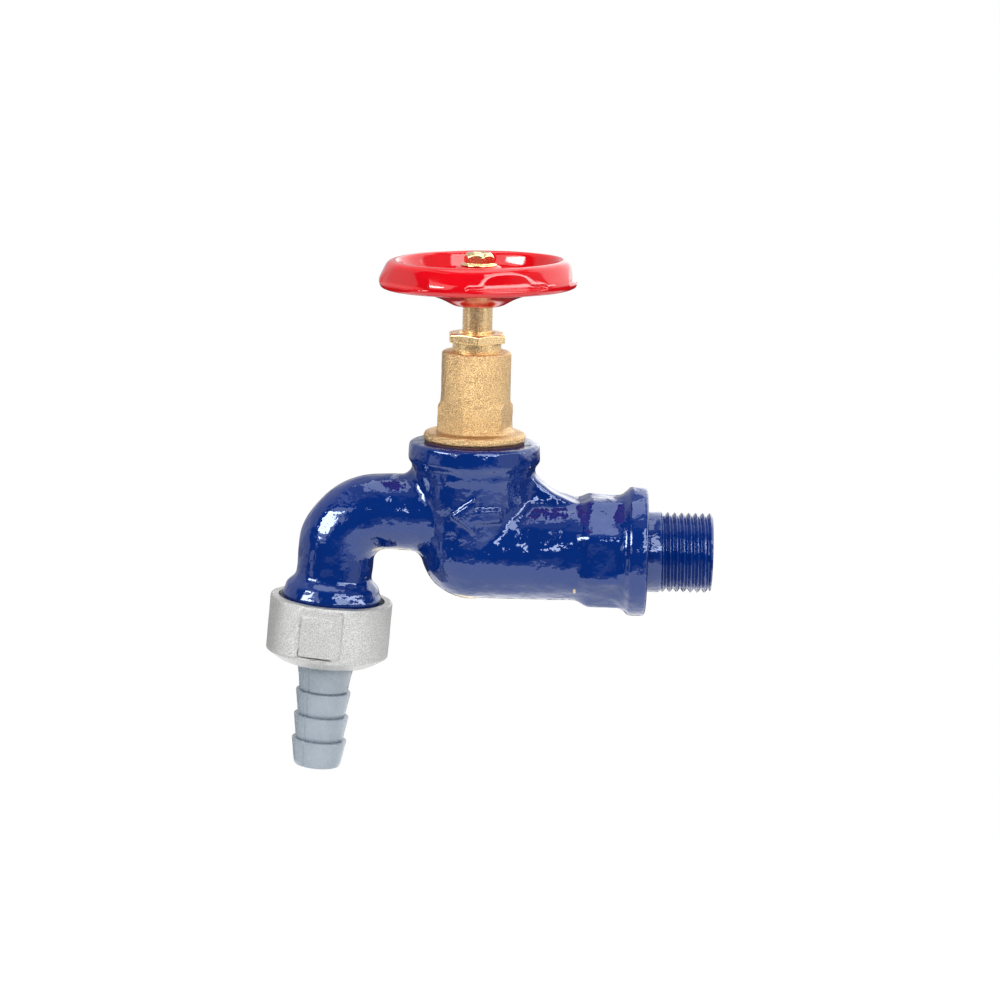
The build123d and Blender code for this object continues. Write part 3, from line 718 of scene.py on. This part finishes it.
def makeBonnet():
    h = headwork
    flangeTop = gasketTop + h["flangeHeight"]
    hexFoot = flangeTop + h["grooveHeight"]
    bonnet = hexagonForm("bonnetCasting", h["hexAcross"], hexFoot, hexFoot + h["hexHeight"], h["hexTurn"],
                         h["hexCrown"])
    shell = lathe([
        (0, bonnetFoot), (h["skirtR"] - h["bevel"], bonnetFoot), (h["skirtR"], bonnetFoot + h["bevel"]),
        (h["skirtR"], gasketTop), (h["flangeR"], gasketTop, 0.3), (h["flangeR"], flangeTop, 1.0),
        (h["grooveR"], flangeTop), (h["grooveR"], hexFoot + 0.2), (h["topR"], hexFoot + 0.4),
        (h["topR"], bonnetTop, h["topRound"]), (0, bonnetTop),
    ])
    merged(bonnet, piece("shell", (shell, onSpindle)))
    remesh(bonnet, h["voxel"])
    blendInside(bonnet, h["blend"], h["voxel"])
    smooth(bonnet, 0.5, 2)
    ripple(bonnet, h["waves"])
    chamberFloor = bonnetTop - h["chamberDepth"]
    floorFoot = chamberFloor - h["floorThickness"]
    bores = lathe([
        (0, bonnetFoot - 1), (h["threadBoreR"], bonnetFoot - 1), (h["threadBoreR"], floorFoot),
        (h["stemBoreR"], floorFoot), (h["stemBoreR"], chamberFloor), (h["chamberR"], chamberFloor),
        (h["chamberR"], bonnetTop - 0.3), (h["chamberR"] + h["bevel"], bonnetTop + 0.5),
        (h["chamberR"] + h["bevel"], bonnetTop + 2), (0, bonnetTop + 2),
    ], 96)
    cut(bonnet, piece("bores", (bores, onSpindle)))
    return finished(bonnet, "tap_body", brassCast, ["bonnet"], sharp=50)


bonnet = makeBonnet()
print("bonnet", len(bonnet.data.polygons))

# Gland nut
gland = dict(
    voxel=0.15, barrelR=6.3, hexAcross=14.2, hexHeight=2.3, hexTurn=-88.0, hexCrown=0.1, hexSlope=0.3,
    boreR=3.9, countersinkR=4.7,
)


def makeGlandNut():
    g = gland
    hexFoot = glandTop - g["hexHeight"]
    nut = hexagonForm("glandNut", g["hexAcross"], hexFoot, glandTop, g["hexTurn"], g["hexCrown"],
                      g["hexSlope"])
    barrelTop = hexFoot + 0.5
    barrel = lathe([(0, glandFoot), (g["barrelR"], glandFoot), (g["barrelR"], barrelTop), (0, barrelTop)])
    merged(nut, piece("barrel", (barrel, onSpindle)))
    remesh(nut, g["voxel"])
    smooth(nut, 0.5, 4)
    bore = lathe([
        (0, glandFoot - 1), (g["boreR"], glandFoot - 1), (g["boreR"], glandTop - 0.9),
        (g["countersinkR"], glandTop - 0.1), (g["countersinkR"], glandTop + 1), (0, glandTop + 1)], 96)
    cut(nut, piece("bore", (bore, onSpindle)))
    return finished(nut, "tap_body", brassTurned, ["gland_nut"], sharp=50)


glandNut = makeGlandNut()
print("gland nut", len(glandNut.data.polygons))

# Handwheel
wheel = dict(
    voxel=0.34, blend=1.2, waves=[(8.0, 0.06), (3.0, 0.015)],
    hubR=6.2, hubDrop=0.35, hubHeight=10.0, bossR=6.0, kneeR=10.6, kneeRise=2.0, skin=2.3,
    rimUnderside=4.4, rimWidest=6.3, rimTop=11.8, rimInnerR=20.8, rimInnerFootR=19.2, crownR=23.4, rimR=26.1,
    rimWall=2.5, gripCount=5, gripTurn=-72.0, gripR=60.0, gripDepth=0.8, gripCrownDepth=0.15,
    gripShape=[    # the grip's face: out from gripR, height up the rim
        (-4.6, -3.6), (-2.2, -2.4), (-0.6, -1.2), (0.1, -0.3), (0.1, 0.25), (0.0, 1.2), (0.0, 4.6),
        (0.3, 5.4), (1.2, 7.0)],
    archFoot=6.1, archHeight=4.9, archHalf=11.7, archPower=2.5, archSlope=0.26, archRound=0.9,
    archLedge=0.5,
    tilt=1.4, squareHole=5.5,    # the wheel sits a little askew on its square, in degrees
)


def wheelForm():
    w = wheel
    dish = w["kneeRise"] + w["skin"]
    return lathe([(r, wheelFoot + h, *size) for r, h, *size in [
        (0, -w["hubDrop"]), (w["hubR"], -w["hubDrop"], 0.5), (w["kneeR"], w["kneeRise"], 2),
        (w["rimInnerFootR"], w["rimUnderside"]), (w["rimR"] - 1, w["rimUnderside"], 0.7),
        (w["rimR"], w["rimWidest"], 1.2), (w["crownR"], w["rimTop"] - 0.4, 0.9),
        (w["rimInnerR"], w["rimTop"], 0.9), (w["rimInnerFootR"], w["rimUnderside"] + w["skin"], 1.5),
        (w["kneeR"], dish, 2), (w["bossR"] + 0.6, dish, 0.8), (w["bossR"], w["hubHeight"], 0.8),
        (0, w["hubHeight"])]], 160)


def rimHollow():
    # groove under the rim, closed towards its crown
    w = wheel
    inner = w["rimInnerFootR"] + w["skin"]
    outer = w["rimR"] - w["rimWall"]
    return lathe([(r, wheelFoot + h, *size) for r, h, *size in [
        (inner, w["rimUnderside"] - 2), (inner, w["rimTop"] - w["rimWall"] - 0.6, 0.4),
        (outer, w["rimWidest"] + 0.4, 0.4), (outer, w["rimUnderside"] - 2)]], 160, closed=True)


def pressGrips(obj):
    # an arched hollow in each grip, deepest at its foot
    w = wheel
    bm = bmesh.new()
    bm.from_mesh(obj.data)
    pitch = 2 * pi / w["gripCount"]
    for vert in bm.verts:
        out = Vector((vert.co.x - spindleX, vert.co.y, 0))
        rise = (vert.co.z - wheelFoot - w["archFoot"]) / w["archHeight"]
        if out.length < w["crownR"] - 2.5 or not 0 < rise < 1:
            continue
        turn = (atan2(out.y, out.x) - radians(w["gripTurn"]) + pitch / 2) % pitch - pitch / 2
        across = min(abs(turn) * w["rimR"] / w["archHalf"], 1)
        depth = ((1 - across ** w["archPower"]) ** (1 / w["archPower"]) - rise) * w["archHeight"]
        if depth > 0:
            bend = w["archRound"]
            pressed = depth * depth / (2 * bend) if depth < bend else depth - bend / 2
            ledge = min(rise * w["archHeight"] / w["archLedge"], 1)
            vert.co -= out.normalized() * w["archSlope"] * pressed * ledge
    bm.to_mesh(obj.data)
    bm.free()
    return obj


def makeHandwheel():
    w = wheel
    handwheel = piece("enamelWheel", (wheelForm(), onSpindle))
    gripFoot = w["rimR"] - w["gripDepth"]
    slant = atan2(gripFoot - (w["crownR"] - w["gripCrownDepth"]), w["rimTop"] - w["rimWidest"])
    tilt = Matrix.Translation((gripFoot, 0, wheelFoot + w["rimWidest"])) @ Matrix.Rotation(-slant, 4, "Y")
    face = [(w["gripR"] + out, height) for out, height in w["gripShape"]]
    for i in range(w["gripCount"]):
        place = onSpindle @ Matrix.Rotation(radians(w["gripTurn"] + i * 360 / w["gripCount"]), 4, "Z") @ tilt
        flat = lathe([(0, -45), (face[0][0] - 9, -45), *face, (face[-1][0] + 9, 45), (0, 45)], 256)
        cut(handwheel, piece("flat", (flat, place @ Matrix.Translation((-w["gripR"], 0, 0)))), "INTERSECT")
    remesh(handwheel, w["voxel"])
    blendInside(handwheel, w["blend"], w["voxel"])
    smooth(handwheel, 0.5, 8)
    pressGrips(handwheel)
    smooth(handwheel, 0.5, 2)
    ripple(handwheel, w["waves"])
    cut(handwheel, piece("hollow", (rimHollow(), onSpindle)))
    hole = bmesh.new()
    bmesh.ops.create_cube(hole, size=1)
    size = Matrix.Diagonal((w["squareHole"], w["squareHole"], 3 * w["hubHeight"], 1))
    cut(handwheel, piece("hole", (hole, onSpindle @ Matrix.Translation((0, 0, wheelFoot)) @ size)))
    seat = onSpindle @ Matrix.Translation((0, 0, wheelFoot + w["hubHeight"]))
    handwheel.data.transform(seat @ Matrix.Rotation(radians(-w["tilt"]), 4, "Y") @ seat.inverted())
    return finished(handwheel, "wheel_and_spindle", red, ["handwheel"], sharp=50)


handwheel = makeHandwheel()
print("handwheel", len(handwheel.data.polygons))

# Handwheel screw
screw = dict(voxel=0.12, flangeR=4.75, flangeHeight=0.55, shankR=2.0, length=10.0, across=7.0, headTurn=-76.0,
             crown=0.5, dimpleR=1.5, dimpleDepth=0.6)


def makeScrew():
    s = screw
    seat = screwFoot + s["length"]
    headTop = boxOf("handwheel_screw")[1].z
    flangeTop = seat + s["flangeHeight"]
    bolt = hexagonForm("wheelScrew", s["across"], flangeTop - 0.4, headTop, s["headTurn"], s["crown"])
    shank = lathe([
        (0, screwFoot), (s["shankR"] - 0.4, screwFoot), (s["shankR"], screwFoot + 0.4), (s["shankR"], seat),
        (s["flangeR"], seat, 0.2), (s["flangeR"], flangeTop, 0.5), (0, flangeTop)])
    merged(bolt, piece("shank", (shank, onSpindle)))
    remesh(bolt, s["voxel"])
    smooth(bolt, 0.5, 3)
    dimpleFloor = headTop - s["dimpleDepth"]
    dimple = lathe([(0, dimpleFloor), (s["dimpleR"] * 0.6, dimpleFloor, 0.3), (s["dimpleR"], headTop + 0.05),
                    (s["dimpleR"], headTop + 1), (0, headTop + 1)], 64)
    cut(bolt, piece("dimple", (dimple, onSpindle)))
    return finished(bolt, "wheel_and_spindle", brassBright, ["handwheel_screw"], sharp=50)


wheelScrew = makeScrew()
print("wheel screw", len(wheelScrew.data.polygons))

# Union nut, in depths below its upper rim
nutForm = dict(
    voxel=0.22, outerR=15.97, height=17.0, chamfer=2.5, footR=11.9, waves=[(4.0, 0.08), (0.8, 0.04)],
    mouthR=13.9, mouthDepth=1.6, boreR=13.27, floorDepth=14.2, holeR=7.5,
    lugFace=8.2, lugReach=17.5, lugSide=2.4, lugRootR=14.4, lugFlare=0.2, lugTop=0.3, lugFoot=12.9,
    lugSlope=2.85, lugTurn=9.0, moat=0.6, moatR=14.6, moatReach=20,
)


def upright(outline, low, high, place):
    # closed outline of (x, y) points between two heights, and the matrix that places it
    stand = Matrix.Translation((0, 0, (low + high) / 2)) @ Matrix.Rotation(-pi / 2, 4, "X")
    return prism(outline, high - low), place @ stand


def makeUnionNut():
    n = nutForm
    shell = lathe([(0, 0), (n["outerR"], 0, 0.5), (n["outerR"], n["height"] - n["chamfer"], 0.5),
                   (n["footR"], n["height"], 0.5), (0, n["height"])], 160)
    nut = piece("dieCastNut", (shell, alongOutlet))
    half, root = n["lugFace"] / 2, n["lugReach"] - n["lugSide"]
    outline = [(n["lugRootR"], 0), (root, half + n["lugFlare"]), (n["lugReach"], half),
               (n["lugReach"], -half), (root, -half - n["lugSide"])]
    moatTop = half + n["moat"]
    moat = [(n["moatR"], moatTop), (n["moatReach"], moatTop), (n["moatReach"], -half), (n["moatR"], -half)]
    for turn in (n["lugTurn"], n["lugTurn"] + 180):
        place = alongOutlet @ Matrix.Rotation(radians(turn), 4, "Z")
        cut(nut, piece("moat", upright(moat, n["lugTop"] + 2, n["lugFoot"] + n["moat"], place)))
        lugPiece = piece("lug", upright(outline, n["lugTop"], n["lugFoot"], place))
        slope = lathe([(0, n["lugTop"]), (n["outerR"] - 0.3, n["lugTop"]),
                       (n["lugReach"] + 1, n["lugTop"] + n["lugSlope"]), (n["lugReach"] + 1, n["lugFoot"]),
                       (0, n["lugFoot"])])
        merged(nut, cut(lugPiece, piece("slope", (slope, alongOutlet)), "INTERSECT"))
    remesh(nut, n["voxel"])
    smooth(nut, 0.5, 2)
    ripple(nut, n["waves"])
    bores = lathe([
        (0, -1), (n["mouthR"] + 1, -1), (n["mouthR"], 0), (n["mouthR"], n["mouthDepth"]),
        (n["boreR"], n["mouthDepth"] + 0.6), (n["boreR"], n["floorDepth"]), (n["holeR"], n["floorDepth"]),
        (n["holeR"], n["height"] + 1), (0, n["height"] + 1)])
    cut(nut, piece("bores", (bores, alongOutlet)))
    return finished(nut, "nut", silver, ["union_nut"], sharp=50)


unionNut = makeUnionNut()
print("union nut", len(unionNut.data.polygons))

# Hose tail, in depths below the nut's upper rim
tail = dict(
    boreR=4.2, flangeR=12.9, flangeTop=11.4, flangeFoot=14.2, neckR=7.25, nutFoot=17.0, waistR=6.4,
    barbsStart=24.9, barbCount=3, pitch=6.5, tip=7.1, barbR=7.2, barbFootR=6.25, endR=5.95, edge=0.14,
    groove=0.45, seamTurn=34.0, seamDepth=0.3, seamWidth=0.3,
)


def makeHoseTail():
    t = tail
    end = t["barbsStart"] + (t["barbCount"] - 1) * t["pitch"] + t["tip"]
    profile = [
        (t["boreR"], t["flangeTop"]), (t["flangeR"], t["flangeTop"], 0.2),
        (t["flangeR"], t["flangeFoot"], 0.2), (t["neckR"], t["flangeFoot"]),
        (t["neckR"], t["nutFoot"] + 2.0, 0.4),
        (t["waistR"] + 0.35, t["nutFoot"] + 4.5, 1.0), (t["waistR"], t["barbsStart"] - 0.4),
        (t["waistR"] - t["groove"], t["barbsStart"] + 0.1)]
    for i in range(t["barbCount"]):
        crest = t["barbsStart"] + i * t["pitch"]
        foot = crest + t["pitch"]
        profile += [(t["barbR"], crest + 0.1, t["edge"]), (t["barbFootR"], foot - 0.4),
                    (t["barbFootR"] - t["groove"], foot + 0.1)]
    profile.pop()
    profile[-1] = (t["endR"] + 0.3, end - 1.2, 0.2)
    profile += [(t["endR"], end, 0.3), (t["boreR"], end, 0.2)]
    form = lathe(profile, 160, closed=True)
    longEdges = [edge for edge in form.edges if edge.calc_length() > 2.5]
    bmesh.ops.subdivide_edges(form, edges=longEdges, cuts=6, use_grid_fill=True)
    for vert in form.verts:    # the mould's parting line, sunk into both sides
        turn = atan2(vert.co.y, vert.co.x) - radians(t["seamTurn"])
        away = abs(sin(turn)) * t["barbR"]
        if vert.co.z > t["nutFoot"] + 0.5 and vert.co.xy.length > t["boreR"] + 1 and away < t["seamWidth"]:
            vert.co.xy *= 1 - t["seamDepth"] / t["barbR"]
    hoseTail = piece("mouldedTail", (form, alongOutlet))
    return finished(hoseTail, "tail", plastic, ["hose_tail"], sharp=35)


hoseTail = makeHoseTail()
print("hose tail", len(hoseTail.data.polygons))

# Camera at the photograph's angle
shot = dict(target=(-0.0384, 0.0, 0.0126), elevation=10.0, roll=1.49, distance=0.93, lens=128.8, sensor=36.0)


def addCamera():
    data = bpy.data.cameras.new("camera")
    data.lens = shot["lens"]
    data.sensor_width = shot["sensor"]
    data.clip_start = 0.05
    camera = bpy.data.objects.new("camera", data)
    bpy.context.scene.collection.objects.link(camera)
    elevation = radians(shot["elevation"])
    back = Vector((0, -cos(elevation), sin(elevation)))
    camera.location = Vector(shot["target"]) + back * shot["distance"]
    turned = back.to_track_quat("Z", "Y").to_matrix().to_4x4()
    rolled = turned @ Matrix.Rotation(radians(shot["roll"]), 4, "Z")
    camera.matrix_world = Matrix.Translation(camera.location) @ rolled
    bpy.context.scene.camera = camera


addCamera()

# Studio: a dark side towards the camera, a pale wall to the left, a pale table and two windows
studio = dict(
    dark=0.04, diffuse=0.75,
    panels=[    # degrees left, right, low, high and the softness of the edge, then the brightness
        (-181, -94, -10, 90, 5, 0.65),
        (92, 181, -5, 90, 6, 2.0),
        (-181, 181, 56, 91, 5, 0.4),
        (-120, -50, 50, 56, 2, 1.0),
        (-181, 181, -91, -30, 4, 1.15),
        (-30, 14, -30, -15, 3, 0.35),
        (14, 80, -91, -13, 4, 1.0),
        (38, 92, -7, 45, 5, 0.4),
        (-93, -62, -27, -15, 3, 0.45),
        (-165, -92, -36, -14, 3, 0.05),
        (48, 84, -20, 4, 3, 0.8),
        (-84, -64, -18, -4, 3, 1.1),
        (-75, -43, 15, 28, 1.5, 20.0),
        (4, 100, 10.5, 18, 1.2, 10.0),
    ],
)


def addStudio():
    world = bpy.data.worlds.new("studio")
    bpy.context.scene.world = world
    world.use_nodes = True
    tree = world.node_tree
    tree.nodes.clear()
    parts = addNode(tree, "ShaderNodeSeparateXYZ")
    wire(tree, addNode(tree, "ShaderNodeTexCoord").outputs["Generated"], parts.inputs[0])
    x, y, z = parts.outputs
    elevation = mathNode(tree, "DEGREES", mathNode(tree, "ARCSINE", z))
    azimuth = mathNode(tree, "DEGREES", mathNode(tree, "ARCTAN2", x, mathNode(tree, "MULTIPLY", y, -1)))
    glow = studio["dark"]
    for left, right, low, high, soft, level in studio["panels"]:
        inside = 1.0
        for angle, edge, side in ((azimuth, left, soft), (azimuth, right, -soft), (elevation, low, soft),
                                  (elevation, high, -soft)):
            inside = mathNode(tree, "MULTIPLY", mapped(tree, angle, edge - side, edge + side), inside)
        glow = mathNode(tree, "MULTIPLY_ADD", inside, mathNode(tree, "SUBTRACT", level, glow), glow)
    rays = addNode(tree, "ShaderNodeLightPath").outputs
    beyondDiffuse = mathNode(tree, "SUBTRACT", glow, studio["diffuse"])
    light = mathNode(tree, "MULTIPLY_ADD", rays["Is Glossy Ray"], beyondDiffuse, studio["diffuse"])
    toWhite = mathNode(tree, "SUBTRACT", 1.0, light)
    strength = mathNode(tree, "MULTIPLY_ADD", rays["Is Camera Ray"], toWhite, light)
    background = addNode(tree, "ShaderNodeBackground")
    background.inputs["Color"].default_value = (1, 1, 1, 1)
    wire(tree, strength, background.inputs["Strength"])
    wire(tree, background.outputs[0], addNode(tree, "ShaderNodeOutputWorld").inputs[0])


addStudio()

lamps = dict(
    key=((0.5, -1.0, 0.8), 0.7, 9.0),
    fill=((-0.9, -0.7, 0.5), 0.8, 4.0),
    top=((-0.05, 0.1, 1.2), 0.9, 6.0),
)


def addLamps():
    for name, (place, size, power) in lamps.items():
        data = bpy.data.lights.new(name, "AREA")
        data.size = size
        data.energy = power
        data.specular_factor = 0.0
        lamp = bpy.data.objects.new(name, data)
        bpy.context.scene.collection.objects.link(lamp)
        lamp.location = place
        lamp.rotation_euler = (Vector(place) - Vector(shot["target"])).to_track_quat("Z", "Y").to_euler()


addLamps()

floorLook = dict(height=-0.165, radius=0.36, colour=(0.8, 0.8, 0.8), glow=0.6)


def addFloor():
    bm = bmesh.new()
    bmesh.ops.create_circle(bm, cap_ends=True, segments=96, radius=floorLook["radius"])
    floor = piece("floor", (bm, Matrix.Translation((0, 0, floorLook["height"]))))
    material, tree, shader = newMaterial("paleFloor", **{"Roughness": 0.9, "Specular IOR Level": 0.0})
    shader.inputs["Base Color"].default_value = (*floorLook["colour"], 1)
    rays = addNode(tree, "ShaderNodeLightPath").outputs
    seen = mathNode(tree, "MAXIMUM", rays["Is Camera Ray"],
                    mathNode(tree, "MAXIMUM", rays["Is Glossy Ray"], rays["Is Transmission Ray"]))
    shader.inputs["Emission Color"].default_value = (1, 1, 1, 1)
    wire(tree, mathNode(tree, "MULTIPLY", seen, floorLook["glow"]), shader.inputs["Emission Strength"])
    floor.data.materials.append(material)


addFloor()

nodeLooks = dict(
    valve_seat=brassTurned, jumper_valve=brassTurned, valve_washer=rubber, washer_nut=brassTurned,
    bonnet_gasket=fibre, bonnet=brassCast, packing_washer=brassTurned, packing_ring_lower=packing,
    packing_ring_upper=packing, gland_follower=brassTurned, gland_nut=brassTurned, spindle=brassTurned,
    handwheel=red, handwheel_screw=brassTurned, union_nut=silver, union_washer=rubber, hose_tail=plastic,
)


def dressNodes():
    for name, material in nodeLooks.items():
        node = nodes[name]
        if not node.hide_render:
            node.data.materials.clear()
            node.data.materials.append(material)


dressNodes()

bpy.context.scene.view_settings.view_transform = "Standard"
